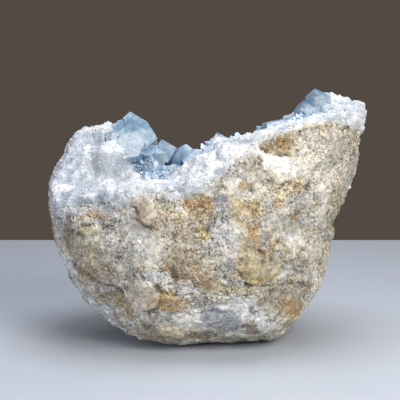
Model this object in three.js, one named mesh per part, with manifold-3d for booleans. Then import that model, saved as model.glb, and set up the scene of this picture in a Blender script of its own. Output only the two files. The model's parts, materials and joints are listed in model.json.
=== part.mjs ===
// A celestite geode: a limestone nodule broken open at the top, and the celestite that lines its hollow.
// Millimetres, +Z up. The origin lies on the flat spot that the nodule rests on, below its middle. +X runs
// along the nodule to its high end, and +Y runs from its front to its back.
import * as THREE from 'three';
import { ImprovedNoise } from 'three/addons/math/ImprovedNoise.js';
import { mergeVertices } from 'three/addons/utils/BufferGeometryUtils.js';
import Module from 'manifold-3d';

const wasm = await Module();
wasm.setup();

// The nodule's skin is measured outwards from its heart.
const heart = new THREE.Vector3(0, 0, 54);
const frontDepth = 53;
const backDepth = 56;
const boxiness = 2.25; // 2 is an ellipse from front to back, more is squarer
const skinDetail = 11;

// The nodule's outline from the front, [x, z], going round from the high right end over the top.
const outline = [
  [74, 110],
  [71, 120],
  [50, 128],
  [14, 126],
  [-26, 119],
  [-50, 110],
  [-60, 103],
  [-66, 96],
  [-70, 89],
  [-74, 81],
  [-76, 71],
  [-77, 62],
  [-75, 49],
  [-70, 36],
  [-65, 25],
  [-56, 15],
  [-47, 7],
  [-36, 1],
  [-22, -1],
  [10, -1],
  [24, 1],
  [37, 6],
  [47, 17],
  [53, 29],
  [55, 41],
  [57, 50],
  [60, 59],
  [65, 71],
  [69, 85],
  [71, 97],
];

// Lumps and hollows of the front face: place [x, z], how far each reaches, and how far it rises.
const frontRelief = [
  { name: 'brow over the crack', at: [-24, 66], reach: 7, rise: 3.2 },
  { name: 'hollow left of the brow', at: [-35, 59], reach: 6, rise: -2.6 },
  { name: 'yellow boss', at: [16, 51], reach: 13, rise: 3 },
  { name: 'hollow under the boss', at: [22, 33], reach: 10, rise: -2.2 },
  { name: 'left cheek', at: [-57, 46], reach: 12, rise: 2.4 },
  { name: 'low left knuckle', at: [-25, 31], reach: 10, rise: 2.6 },
  { name: 'groove left of the knuckle', at: [-42, 25], reach: 7, rise: -2.2 },
  { name: 'low right shelf', at: [42, 28], reach: 11, rise: -2 },
  { name: 'right edge nub', at: [58, 42], reach: 6, rise: 2.4 },
  { name: 'brown pit', at: [30, 95], reach: 6, rise: -2.6 },
  { name: 'foot', at: [-18, 6], reach: 11, rise: 2 },
  { name: 'right foot', at: [28, 7], reach: 9, rise: 1.6 },
];

// The hollow is measured outwards from a point inside its mouth. The crust lies between hollow and rock.
const hollowHeart = new THREE.Vector3(4, 2, 88);
const hollowReach = { x: 48, y: 35, down: 45, up: 150 };
const crustThickness = 10;
const hollowDetail = 3;
const clearance = 0.3; // between the crust and the rock
const sliver = 0.02; // folds of the crust finer than this are smoothed away

// The broken rim by compass angle, degrees from +X towards the back: the rock's height at the skin, the
// crust's height at the skin, and the crust's height at the hollow's edge.
const rim = [
  [0, 99, 113, 117],
  [20, 98, 110, 115],
  [40, 95, 101, 108],
  [60, 86, 93, 99],
  [80, 78, 84, 88],
  [100, 76, 82, 85],
  [118, 78, 84, 89],
  [135, 82, 89, 95],
  [155, 86, 97, 101],
  [178, 84, 94, 103],
  [186, 79, 89, 102],
  [192, 74, 81, 97],
  [198, 69, 74, 91],
  [204, 67, 71, 86],
  [210, 68, 71, 82],
  [217, 69, 73, 79],
  [227, 70, 74, 79],
  [237, 72, 76, 79],
  [243, 77, 80, 81],
  [255, 77, 80, 82],
  [262, 77, 80, 91],
  [267, 77, 83, 97.5],
  [273, 82, 88, 96.5],
  [279, 90, 97, 99],
  [290, 97, 102, 99.5],
  [302, 104, 108, 103],
  [313, 106, 111, 104.5],
  [323, 105, 112, 106.5],
  [336, 102, 112, 111],
  [350, 100, 113, 115],
];
const rimPlan = { x: 75, y: 54 }; // the skin's half sizes at the rim, seen from above
const hollowEdge = 0.66; // where the crust's inner height holds, as a share of the way out to the skin
const breakDetail = { rock: 22, crust: 22 }; // squares along the longer side of a broken face

// Crystals that stand out from the rest: tip, way they grow, length down to the foot, width, sides and turn.
// The nearest also have their thickness as a share of width, and their end faces: slope, the way that the
// face looks, and how far it is set down from the tip in widths.
const leadCrystals = [
  {
    name: 'great block',
    tip: [-36.5, -14, 99.3], way: [0.1, -0.85, 0.35], length: 24, width: 20.5, sides: 6, turn: 45,
    slim: 1, ends: [[8, 110, 0], [66, 100, -0.6], [32, 170, -0.14], [40, 310, -0.22]],
  },
  {
    name: 'top slab',
    tip: [-32.8, -10.5, 102.1], way: [0.1, -0.85, 0.35], length: 24, width: 21, sides: 6, turn: -40,
    slim: 0.46, ends: [[12, 183, 0], [30, 120, -0.2]],
  },
  {
    name: 'block below',
    tip: [-37.4, -20, 95.2], way: [-0.05, -0.87, 0.36], length: 22, width: 15, sides: 6, turn: 35,
    slim: 0.92, ends: [[9, 145, 0], [38, 110, -0.26], [34, 300, -0.3]],
  },
  {
    name: 'knuckle',
    tip: [-29.6, -14, 93.6], way: [0.4, -0.75, 0.35], length: 16, width: 9.5, sides: 8, turn: 0,
    slim: 0.95, ends: [[10, 60, 0], [26, 180, -0.1], [26, 300, -0.1]],
  },
  {
    name: 'dark foot',
    tip: [-34, -12, 87.5], way: [0.35, -0.75, 0.3], length: 18, width: 17, sides: 4, turn: 40,
    slim: 0.85, ends: [[14, 30, 0], [30, 210, 0.1]],
  },
  {
    name: 'dark foot beside',
    tip: [-26, -7, 88], way: [0.2, -0.8, 0.4], length: 22, width: 13, sides: 6, turn: 0,
    slim: 0.85, ends: [[14, 200, 0], [30, 20, 0.1]],
  },
  {
    name: 'flat quad',
    tip: [-21.8, 0, 90.3], way: [0.05, -0.9, 0.3], length: 26, width: 12, sides: 4, turn: 16,
    slim: 1, ends: [[6, 200, 0], [40, 270, -0.36]],
  },
  {
    name: 'split block',
    tip: [-12.3, 3, 87.2], way: [-0.1, -0.85, 0.4], length: 26, width: 13, sides: 6, turn: -12,
    slim: 1, ends: [[20, 285, 0], [24, 130, -0.12]],
  },
  {
    name: 'split block beside',
    tip: [-8, 0, 86.4], way: [0.1, -0.85, 0.42], length: 26, width: 11.5, sides: 6, turn: -20,
    slim: 1, ends: [[14, 110, 0], [26, 250, -0.12]],
  },
  {
    name: 'low sheet',
    tip: [-24.5, -15, 82.6], way: [0.1, -0.6, 0.8], length: 16, width: 17, sides: 6, turn: 30,
    slim: 0.75, ends: [[10, 270, 0], [24, 60, 0.04]],
  },
  {
    name: 'low sheet beside',
    tip: [-14.5, -17, 82.8], way: [0.2, -0.6, 0.85], length: 16, width: 18, sides: 8, turn: 70,
    slim: 0.75, ends: [[14, 280, 0], [22, 90, 0.04]],
  },
  { name: 'back block', tip: [-37, 14, 101], way: [0.3, 0.1, 1], length: 20, width: 16, sides: 6, turn: 35 },
  { name: 'back spur', tip: [2, 28, 85], way: [-0.15, -0.4, 1], length: 18, width: 15, sides: 4, turn: 5 },
  { name: 'front spur', tip: [-4, -24, 87], way: [-0.45, 0, 1], length: 12, width: 13, sides: 4, turn: 20 },
  {
    name: 'lone tooth',
    tip: [3.8, -31.5, 101.4], way: [-0.1, -0.1, 1], length: 10, width: 8, sides: 6, turn: 15,
    slim: 0.85, ends: [[36, 90, 0], [40, 270, 0]],
  },
  {
    name: 'long ridge',
    tip: [24, -25.5, 101], way: [-0.8, -0.35, -0.15], length: 14, width: 9.5, sides: 6, turn: 20,
    slim: 0.85, ends: [[20, 90, 0], [26, 270, 0.05]],
  },
  {
    name: 'ridge',
    tip: [34, -22, 106.2], way: [-0.6, -0.45, 0.55], length: 15, width: 11, sides: 4, turn: 50,
    slim: 0.85, ends: [[20, 200, 0], [34, 20, 0.1]],
  },
  {
    name: 'ridge above',
    tip: [43.2, -17, 114.2], way: [-0.25, -0.4, 1], length: 18, width: 12, sides: 6, turn: 40,
    slim: 0.85, ends: [[28, 210, 0], [34, 40, 0.1]],
  },
  {
    name: 'crown',
    tip: [48.6, -11, 118.6], way: [-0.1, -0.35, 1], length: 18, width: 11, sides: 6, turn: 60,
    slim: 0.9, ends: [[30, 200, 0], [24, 20, 0]],
  },
  {
    name: 'below the crown',
    tip: [47.6, -27, 111.4], way: [0.05, -0.6, 0.75], length: 14, width: 11, sides: 6, turn: 20,
    slim: 0.85, ends: [[10, 250, 0], [30, 60, -0.1], [34, 160, -0.15]],
  },
  {
    name: 'below the ridge',
    tip: [40.6, -29.5, 107.6], way: [-0.2, -0.6, 0.75], length: 13, width: 9, sides: 6, turn: 50,
    slim: 0.85, ends: [[12, 60, 0], [32, 220, -0.1]],
  },
  { name: 'crown beside', tip: [54, -5, 119.4], way: [0.1, 0, 1], length: 14, width: 10, sides: 4, turn: 30 },
];

// The rest of the crystals, largest first, packed over the hollow's wall.
const fillCrystals = {
  sizes: [15, 12.5, 10],
  tries: 700,
  spacing: 0.74, // least distance between two feet, in mean widths
  stretch: [0.5, 0.95], // length above the foot, in widths
  tilt: 0.8,
  proud: 1.5, // how far one may stand above the rim
  stray: 4, // most of one that may stick out of the layer outside the hollow, cubic mm
};
const crystalShape = {
  slimness: [0.7, 1], // thickness as a share of width
  chisel: [18, 46], // slope of an end face, degrees
  drop: [0, 0.25], // how far an end face is set down from the tip, in widths
  root: 6, // depth that a crystal reaches below its foot
};

const seed = 41;
THREE.MathUtils.seededRandom(seed);
const random = () => THREE.MathUtils.seededRandom();
const randomIn = ([low, high]) => THREE.MathUtils.lerp(low, high, random());
const noise = new ImprovedNoise();

// Smooth noise from -1 to 1 with lumps of the given size.
function lumps(point, size, offset = 0) {
  return noise.noise(point.x / size + offset, point.y / size + offset, point.z / size - offset);
}

// The outline's distance from the heart in every direction of the front view.
const outlineSteps = 720;
const outlineCurve = new THREE.CatmullRomCurve3(
  outline.map(([x, z]) => new THREE.Vector3(x - heart.x, 0, z - heart.z)),
  true,
  'centripetal',
);
const outlinePoints = outlineCurve.getPoints(outlineSteps);
function outlineRadius(angle) {
  let best = outlinePoints[0];
  let least = Infinity;
  for (const point of outlinePoints) {
    const away = Math.abs(Math.atan2(
      Math.sin(Math.atan2(point.z, point.x) - angle),
      Math.cos(Math.atan2(point.z, point.x) - angle),
    ));
    if (away < least) {
      least = away;
      best = point;
    }
  }
  return Math.hypot(best.x, best.z);
}

// How far the relief pushes the skin out at a point of it.
function relief(point) {
  let push = 3 * lumps(point, 31) + 2.2 * lumps(point, 14, 7);
  push *= THREE.MathUtils.lerp(0.3, 1, THREE.MathUtils.smoothstep(point.z, 0, 18));
  if (point.y > 0) return push;
  for (const { at, reach, rise } of frontRelief) {
    const distance = Math.hypot(point.x - at[0], point.z - at[1]) / reach;
    push += rise * Math.exp(-(distance ** 2));
  }
  return push;
}

// The skin's distance from the heart along a direction.
function skinRadius(direction) {
  const flat = Math.hypot(direction.x, direction.z);
  const profile = outlineRadius(Math.atan2(direction.z, direction.x));
  const depth = direction.y < 0 ? frontDepth : backDepth;
  const sum = (flat / profile) ** boxiness + (Math.abs(direction.y) / depth) ** boxiness;
  const plain = sum ** (-1 / boxiness);
  return plain + relief(direction.clone().multiplyScalar(plain).add(heart));
}

// The hollow's distance from its heart along a direction, and the same with the crust's thickness added.
function hollowRadius(direction, grown = 0) {
  const up = direction.z > 0 ? hollowReach.up : hollowReach.down + grown;
  const plain = 1 / Math.hypot(
    direction.x / (hollowReach.x + grown),
    direction.y / (hollowReach.y + grown),
    direction.z / up,
  );
  return plain + 2.5 * lumps(direction.clone().multiplyScalar(40), 22, 3);
}

// A ball of triangles whose points are moved to radius(direction) from a centre.
function ball(centre, detail, radius) {
  const geometry = bare(new THREE.IcosahedronGeometry(1, detail));
  const place = geometry.getAttribute('position');
  const point = new THREE.Vector3();
  for (let i = 0; i < place.count; i += 1) {
    point.fromBufferAttribute(place, i).normalize();
    point.multiplyScalar(radius(point)).add(centre);
    place.setXYZ(i, point.x, point.y, point.z);
  }
  return geometry;
}

// Only positions, with shared corners merged, so that the mesh is closed.
function bare(geometry) {
  geometry.deleteAttribute('normal');
  geometry.deleteAttribute('uv');
  return mergeVertices(geometry, 1e-4);
}

function solid(geometry) {
  const mesh = new wasm.Mesh({
    numProp: 3,
    vertProperties: new Float32Array(geometry.getAttribute('position').array),
    triVerts: new Uint32Array(geometry.index.array),
  });
  return new wasm.Manifold(mesh);
}

function geometryOf(manifold) {
  const mesh = manifold.getMesh();
  const geometry = new THREE.BufferGeometry();
  geometry.setAttribute('position', new THREE.BufferAttribute(mesh.vertProperties, 3));
  geometry.setIndex(new THREE.BufferAttribute(mesh.triVerts, 1));
  geometry.computeVertexNormals();
  return geometry;
}

// The rim's three heights at a place in plan, and how far out to the skin that place is.
function rimAt(x, y) {
  const angle = THREE.MathUtils.euclideanModulo(
    THREE.MathUtils.radToDeg(Math.atan2(y / rimPlan.y, x / rimPlan.x)),
    360,
  );
  const next = rim.findIndex(([station]) => station > angle);
  const after = next === -1 ? [360, ...rim[0].slice(1)] : rim[next];
  const before = next === -1 ? rim[rim.length - 1] : rim[next - 1];
  const share = THREE.MathUtils.smoothstep(angle, before[0], after[0]);
  const [rock, crust, edge] = [1, 2, 3].map((i) => THREE.MathUtils.lerp(before[i], after[i], share));
  return { rock, crust, edge, out: Math.hypot(x / rimPlan.x, y / rimPlan.y) };
}

function rockTop(x, y) {
  const { rock, out } = rimAt(x, y);
  const spot = new THREE.Vector3(x, y, 0);
  return Math.min(rock - 8 * (out - 1) + 1.2 * lumps(spot, 9, 5), crustTop(x, y) - 3.5);
}

function crustTop(x, y) {
  const { crust, edge, out } = rimAt(x, y);
  const spot = new THREE.Vector3(x, y, 0);
  const share = THREE.MathUtils.clamp((out - hollowEdge) / (1 - hollowEdge), 0, 1.15);
  return THREE.MathUtils.lerp(edge, crust, share) + 1.4 * lumps(spot, 8, 11);
}

// Everything above a height that varies in plan.
function spaceAbove(height, detail) {
  const size = { x: 180, y: 140, z: 120 };
  const across = Math.round((detail * size.y) / size.x);
  const geometry = bare(new THREE.BoxGeometry(size.x, size.y, size.z, detail, across, 1));
  const place = geometry.getAttribute('position');
  for (let i = 0; i < place.count; i += 1) {
    const [x, y, z] = [place.getX(i), place.getY(i), place.getZ(i)];
    if (z > 0) {
      place.setZ(i, size.z * 1.6);
      continue;
    }
    const inside = Math.abs(x) < size.x / 2 - 1 && Math.abs(y) < size.y / 2 - 1;
    const aside = inside ? (size.x / detail) * 0.6 : 0;
    const [nearX, nearY] = [x + aside * (random() - 0.5), y + aside * (random() - 0.5)];
    place.setXYZ(i, nearX, nearY, height(nearX, nearY));
  }
  return solid(geometry);
}

function spaceBelowTable() {
  const geometry = bare(new THREE.BoxGeometry(400, 400, 40));
  geometry.translate(0, 0, -20);
  return solid(geometry);
}

// One crystal: a flattened prism of four to eight sides with two or three flat end faces, standing on the
// origin with its root below it.
function crystal({ length, width, sides, slim = randomIn(crystalShape.slimness), ends = randomEnds() }) {
  const { root } = crystalShape;
  const prism = bare(new THREE.CylinderGeometry(width / 2, width / 2, length + root, sides));
  prism.rotateX(Math.PI / 2);
  prism.translate(0, 0, (length - root) / 2);
  prism.scale(1, slim, 1);
  let grown = solid(prism);
  for (const [slope, looks, drop] of ends) {
    const reach = length * 2 + width * 2;
    const end = bare(new THREE.BoxGeometry(reach, reach, reach));
    end.translate(0, 0, reach / 2);
    end.rotateX(THREE.MathUtils.degToRad(slope));
    end.rotateZ(THREE.MathUtils.degToRad(looks));
    end.translate(0, 0, length - width * drop);
    grown = grown.subtract(solid(end));
  }
  return grown;
}

function randomEnds() {
  const count = random() < 0.6 ? 2 : 3;
  return Array.from({ length: count }, (_, i) => (
    [randomIn(crystalShape.chisel), (i * 360) / count + random() * 30, randomIn(crystalShape.drop)]
  ));
}

function plant({ tip, way, length, turn, ...shape }) {
  const up = new THREE.Vector3(0, 0, 1);
  const grow = new THREE.Vector3(...way).normalize();
  const aim = new THREE.Quaternion().setFromUnitVectors(up, grow);
  const spin = new THREE.Quaternion().setFromAxisAngle(up, THREE.MathUtils.degToRad(turn));
  const foot = new THREE.Vector3(...tip).addScaledVector(grow, -length);
  const place = new THREE.Matrix4().compose(foot, aim.multiply(spin), new THREE.Vector3(1, 1, 1));
  return crystal({ length, ...shape }).transform(place.elements);
}

// Feet packed over the hollow's wall, each growing roughly square to it.
function packedCrystals(hollow, layer) {
  const placed = leadCrystals.map(({ tip, way, length, width }) => ({
    foot: new THREE.Vector3(...tip).addScaledVector(new THREE.Vector3(...way).normalize(), -length),
    width,
  }));
  const grown = [];
  for (const width of fillCrystals.sizes) {
    for (let i = 0; i < fillCrystals.tries; i += 1) {
      const away = new THREE.Vector3(random() - 0.5, random() - 0.5, random() - 0.66).normalize();
      const foot = away.clone().multiplyScalar(hollowRadius(away)).add(hollowHeart);
      const turn = random() * 360;
      const sides = random() < 0.5 ? 4 : 6;
      const tilt = new THREE.Vector3(random() - 0.5, random() - 0.5, random() - 0.5);
      const length = width * randomIn(fillCrystals.stretch);
      const room = placed.every((other) => (
        other.foot.distanceTo(foot) > (fillCrystals.spacing * (other.width + width)) / 2
      ));
      const way = new THREE.Vector3(
        -away.x / hollowReach.x ** 2,
        -away.y / hollowReach.y ** 2,
        -away.z / hollowReach.down ** 2,
      ).normalize().addScaledVector(tilt, fillCrystals.tilt).normalize();
      const tip = foot.clone().addScaledVector(way, length);
      const inward = tip.clone().sub(hollowHeart);
      const inside = inward.length() < hollowRadius(inward.clone().normalize()) * 0.9;
      if (!room || !inside) continue;
      const planted = plant({ tip: tip.toArray(), way: way.toArray(), length, width, sides, turn });
      if (planted.boundingBox().max[2] > rimAt(foot.x, foot.y).edge + fillCrystals.proud) continue;
      if (planted.subtract(hollow).subtract(layer).volume() > fillCrystals.stray) continue;
      placed.push({ foot, width });
      grown.push(planted);
    }
  }
  return grown;
}

const largestPiece = (manifold) => (
  manifold.decompose().reduce((most, piece) => (piece.volume() > most.volume() ? piece : most))
);

function makeSolids() {
  const leads = leadCrystals.map(plant);
  const nodule = solid(ball(heart, skinDetail, skinRadius)).subtract(spaceBelowTable());
  const rockHollow = solid(ball(
    hollowHeart,
    hollowDetail,
    (direction) => hollowRadius(direction, crustThickness),
  ));
  const crustRoom = solid(ball(
    hollowHeart,
    hollowDetail,
    (direction) => hollowRadius(direction, crustThickness) - clearance * 1.3,
  ));
  const hollow = solid(ball(hollowHeart, hollowDetail, (direction) => hollowRadius(direction)));
  const aboveRock = spaceAbove(rockTop, breakDetail.rock);
  const shell = nodule.subtract(aboveRock).subtract(rockHollow);
  const growthRoom = crustRoom.add(aboveRock.translate(0, 0, clearance));
  const layer = nodule.subtract(spaceAbove(crustTop, breakDetail.crust)).subtract(hollow);
  const crystals = wasm.Manifold.union([...leads, ...packedCrystals(hollow, layer)]);
  const crust = layer.add(crystals).intersect(growthRoom);
  return { shell: largestPiece(shell), crust: largestPiece(crust).simplify(sliver) };
}

function pieceOf(name, manifold, colour, roughness) {
  const material = new THREE.MeshStandardMaterial({
    color: colour,
    roughness,
    metalness: 0,
    flatShading: true,
  });
  const mesh = new THREE.Mesh(geometryOf(manifold), material);
  mesh.name = name;
  return mesh;
}

const { shell, crust } = makeSolids();
const geode = new THREE.Group();
geode.add(pieceOf('rock_shell', shell, 0xb9b1a0, 0.95));
geode.add(pieceOf('crystal_crust', crust, 0xbdd0de, 0.35));

export default geode;
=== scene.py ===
# Celestite geode: a limestone nodule broken open at the top, its hollow lined with pale blue celestite.
# Lengths are in millimetres and angles in degrees, in the part's own frame: +X to the high end and +Y to
# the back.
import json
import math
from functools import partial

import bmesh
import bpy
import numpy as np
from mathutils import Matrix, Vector, noise
from mathutils.bvhtree import BVHTree
from mathutils.kdtree import KDTree

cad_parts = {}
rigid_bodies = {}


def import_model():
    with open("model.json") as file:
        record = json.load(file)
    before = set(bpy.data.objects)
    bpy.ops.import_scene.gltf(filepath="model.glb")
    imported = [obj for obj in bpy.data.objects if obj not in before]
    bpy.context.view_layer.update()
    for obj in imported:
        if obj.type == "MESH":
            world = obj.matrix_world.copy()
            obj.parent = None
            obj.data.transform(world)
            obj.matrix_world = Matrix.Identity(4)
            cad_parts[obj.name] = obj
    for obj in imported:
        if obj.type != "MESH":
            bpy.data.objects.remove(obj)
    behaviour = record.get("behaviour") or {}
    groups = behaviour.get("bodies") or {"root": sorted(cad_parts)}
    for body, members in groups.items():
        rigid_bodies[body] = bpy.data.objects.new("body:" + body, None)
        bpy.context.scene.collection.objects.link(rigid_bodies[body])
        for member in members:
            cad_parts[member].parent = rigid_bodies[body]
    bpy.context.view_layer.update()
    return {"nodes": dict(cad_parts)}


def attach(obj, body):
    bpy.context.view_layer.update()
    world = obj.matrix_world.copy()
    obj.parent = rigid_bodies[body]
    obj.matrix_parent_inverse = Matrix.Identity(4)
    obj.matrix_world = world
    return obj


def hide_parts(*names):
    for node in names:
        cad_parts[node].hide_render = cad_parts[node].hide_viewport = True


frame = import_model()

mm = 0.001
celestiteIor = 1.62
limestoneIor = 1.5

colours = {
    "cream": "#d2cdbb",
    "bone": "#dbd8cd",
    "white": "#ecebe4",
    "coldWhite": "#dcdfe2",
    "grey": "#aaaaa5",
    "blueGrey": "#9297a0",
    "greenGrey": "#8f8f7a",
    "tan": "#9f9070",
    "taupe": "#9b917e",
    "pinkCream": "#c2b39e",
    "straw": "#c4b892",
    "yellow": "#bfa562",
    "ochre": "#a88a55",
    "orange": "#b48d5f",
    "rust": "#936c4d",
    "brown": "#7a664d",
    "dark": "#453e34",
}


def linear(hexColour):
    parts = [int(hexColour[i:i + 2], 16) / 255 for i in (1, 3, 5)]
    return [c / 12.92 if c <= 0.04045 else ((c + 0.055) / 1.055) ** 2.4 for c in parts]


def smoothStep(low, high, value):
    share = np.clip((value - low) / (high - low), 0, 1)
    return share * share * (3 - 2 * share)


def blend(under, over, share):
    return under + (np.asarray(over) - under) * np.reshape(share, (-1, 1))


def lumpy(points, size, seed, octaves=1):  # smooth noise, about -1 to 1, with lumps of that many millimetres
    shift = Vector((seed * 3.7, seed * 1.9, seed * 5.3))
    if octaves == 1:
        return np.array([noise.noise(Vector(p) / size + shift) for p in points])
    return np.array([noise.fractal(Vector(p) / size + shift, 0.9, 2.1, octaves) for p in points])


def crumbs(points, size, seed):  # rounded grains: 1 at the middle of each, 0 between them
    shift = Vector((seed * 2.3, seed * 4.1, seed * 1.7))
    return np.array([1 - min(noise.voronoi(Vector(p) / size + shift)[0][0] * 1.3, 1) for p in points])


def addPiece(name, data):
    piece = bpy.data.objects.new(name, data)
    bpy.context.scene.collection.objects.link(piece)
    return piece


def meshFrom(shape, name):
    mesh = bpy.data.meshes.new(name)
    shape.to_mesh(mesh)
    shape.free()
    return mesh


def copyOfNode(node, name):  # the node's loose triangles, merged into one closed mesh
    shape = bmesh.new()
    shape.from_mesh(frame["nodes"][node].data)
    bmesh.ops.remove_doubles(shape, verts=shape.verts, dist=0.001 * mm)
    return addPiece(name, meshFrom(shape, name))


def applyModifiers(piece):
    graph = bpy.context.evaluated_depsgraph_get()
    graph.update()
    mesh = bpy.data.meshes.new_from_object(piece.evaluated_get(graph))
    piece.modifiers.clear()
    old, piece.data = piece.data, mesh
    bpy.data.meshes.remove(old)
    piece.data.name = piece.name


def remeshWith(piece, voxel, smooth=True):
    remesh = piece.modifiers.new("remesh", "REMESH")
    remesh.mode = "VOXEL"
    remesh.voxel_size = voxel * mm
    remesh.use_smooth_shade = smooth
    applyModifiers(piece)


def readPoints(piece):  # in millimetres
    flat = np.zeros(len(piece.data.vertices) * 3)
    piece.data.vertices.foreach_get("co", flat)
    return flat.reshape(-1, 3) / mm


def readNormals(piece):
    flat = np.zeros(len(piece.data.vertices) * 3)
    piece.data.vertex_normals.foreach_get("vector", flat)
    return flat.reshape(-1, 3)


def movePoints(piece, points):
    piece.data.vertices.foreach_set("co", (points * mm).ravel())
    piece.data.update()


def paint(piece, name, values):  # one number for each point, or one colour
    values = np.asarray(values, dtype=float)
    if values.ndim == 1:
        attribute = piece.data.attributes.new(name, "FLOAT", "POINT")
        attribute.data.foreach_set("value", values)
    else:
        attribute = piece.data.attributes.new(name, "FLOAT_COLOR", "POINT")
        attribute.data.foreach_set("color", np.c_[values, np.ones(len(values))].ravel())


joint = {  # how the rock, the white layer and the crystals meet
    "lookFrom": 0.05,  # a look for the other piece starts this far out from the surface
    "lookAhead": 3,  # and goes this far
    "buried": 1.5,  # how deep inside the other piece a surface still counts as covered by it
    "blend": (3.0, 0.8),  # the skin turns level with the other piece's between these distances
}


def distanceTo(tree, points):
    return np.array([tree.find_nearest(Vector(p) * mm)[3] for p in points]) / mm


def exposed(piece, tree):  # 1 where nothing of the other piece lies right in front of the surface
    clear = []
    for p, n in zip(readPoints(piece), readNormals(piece)):
        start = Vector(p) * mm + Vector(n) * joint["lookFrom"] * mm
        hit = tree.ray_cast(start, Vector(n), joint["lookAhead"] * mm)[0]
        clear.append(float(hit is None))
    return np.array(clear)


def clearOf(points, tree):  # 0 where the surface lies just inside the other piece, else 1
    clear = np.ones(len(points))
    for i, p in enumerate(points):
        place, way, _, away = tree.find_nearest(Vector(p) * mm)
        if away < joint["buried"] * mm and (Vector(p) * mm - place).dot(way) < 0:
            clear[i] = 0
    return clear


def deepHidden(piece, tree, reach):  # 1 where it is covered and nothing open is within reach
    points = readPoints(piece)
    seen = exposed(piece, tree) > 0
    openPoints = KDTree(int(seen.sum()))
    for i, p in enumerate(points[seen]):
        openPoints.insert(p, i)
    openPoints.balance()
    hidden = np.zeros(len(points))
    hidden[~seen] = [float(openPoints.find(p)[2] > reach) for p in points[~seen]]
    return hidden


def weigh(piece, name, weights):  # a new vertex group
    group = piece.vertex_groups.new(name=name)
    for i, weight in enumerate(weights):
        group.add([i], float(weight), "REPLACE")
    return group.name


def addNode(tree, kind, settings=None, links=None):  # links come from sockets, or from nodes' first ones
    node = tree.nodes.new(kind)
    for name, value in (settings or {}).items():
        if name == "ramp":
            while len(node.color_ramp.elements) < len(value):
                node.color_ramp.elements.new(1)
            for element, (place, colour) in zip(node.color_ramp.elements, value):
                element.position = place
                element.color = [*linear(colour), 1]
        elif name == "range":  # from the first two values, to the other two
            for socket, limit in zip(node.inputs[1:5], value):
                socket.default_value = limit
        elif isinstance(name, int) or name in node.inputs:
            node.inputs[name].default_value = value
        else:
            setattr(node, name, value)
    for name, source in (links or {}).items():
        if isinstance(source, bpy.types.Node):
            source = next(output for output in source.outputs if output.enabled)
        tree.links.new(source, node.inputs[name])
    return node


product = {"operation": "MULTIPLY"}
colourProduct = {"data_type": "RGBA", "blend_type": "MULTIPLY", 0: 1.0}


def newMaterial(name):
    material = bpy.data.materials.new(name)
    material.use_nodes = True
    material.node_tree.nodes.clear()
    return material, partial(addNode, material.node_tree)


rock = {
    "heart": (0, 0, 54),
    "spread": 40,  # the larger, the less the skin near the joint moves straight out from the heart
    "voxel": 0.9,
    "smoothing": 12,
    "keepEdge": (1.5, 7),  # smoothing fades in over these distances from the crust
    "lumps": [(11, 1.0, 1), (4.6, 0.75, 2)],  # size, height, seed
    "backLumps": (19, 2.4, 11),  # broad knuckles and hollows of the back
    "crumbs": [(3.2, 0.7, 3), (1.9, 0.5, 4)],
    "pits": (5.5, 0.9, 5),
    "seams": (19, 1.1, 31),  # long winding seams of the sides and back
    "plateDepth": 18,  # how far a plate reaches to the front and back of its middle
    "rimKept": 3,  # how far in under the crust the faces stay fine
    "rimLift": 0.55,  # how far the skin rises at the joint, to lie level with the crust
    "rimFill": 1.0,  # how far the covered side rises into the crust, so that the joint has no gap
    "hiddenShare": 0.12,  # how many faces stay where the crust covers the rock
}

# Raised plates and knobs of the front, and pits: place [x, z], half width, half height, rise, smoothness.
plates = {
    "brow": {"at": (-31, 69), "half": (6.5, 7.5), "rise": 1.1, "smooth": 0.7},
    "cheek": {"at": (-56, 48), "half": (12, 7.5), "rise": 0.9, "smooth": 0.7},
    "pale ledge": {"at": (-54, 58), "half": (4.5, 2.4), "rise": 1.0, "smooth": 0.8},
    "lower cheek": {"at": (-46, 38), "half": (8, 5), "rise": 0.5, "smooth": 0.6},
    "knob": {"at": (-30, 29), "half": (8, 7), "rise": 1.2, "smooth": 0.8},
    "boss": {"at": (21, 44), "half": (9, 8.5), "rise": 1.2, "smooth": 0.75},
    "shoulder of the boss": {"at": (13, 48), "half": (5, 6), "rise": 0.7, "smooth": 0.6},
    "taupe flat": {"at": (34, 25), "half": (10, 8), "rise": -0.4, "smooth": 0.75},
    "blue patch": {"at": (5, 17), "half": (12, 7), "rise": 0.4, "smooth": 0.35},
    "low knuckle": {"at": (-22, 9), "half": (10, 4), "rise": 0.8, "smooth": 0.5},
    "brown pit": {"at": (29, 97), "half": (7, 4.5), "rise": -1.5, "smooth": 0.2},
    "ochre pit": {"at": (17, 70), "half": (4, 3), "rise": -1.0, "smooth": 0.1},
    "small pit": {"at": (27, 82), "half": (2.6, 2.4), "rise": -0.8, "smooth": 0.3},
    "nub": {"at": (57, 53), "half": (3, 3), "rise": 1.2, "smooth": 0.4},
    "low left flank": {"at": (-52, 24), "half": (9, 9), "rise": -1.6, "smooth": 0.5},
    "smooth white": {"at": (32, 88), "half": (8, 4.5), "rise": 0.4, "smooth": 0.9},
}

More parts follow.
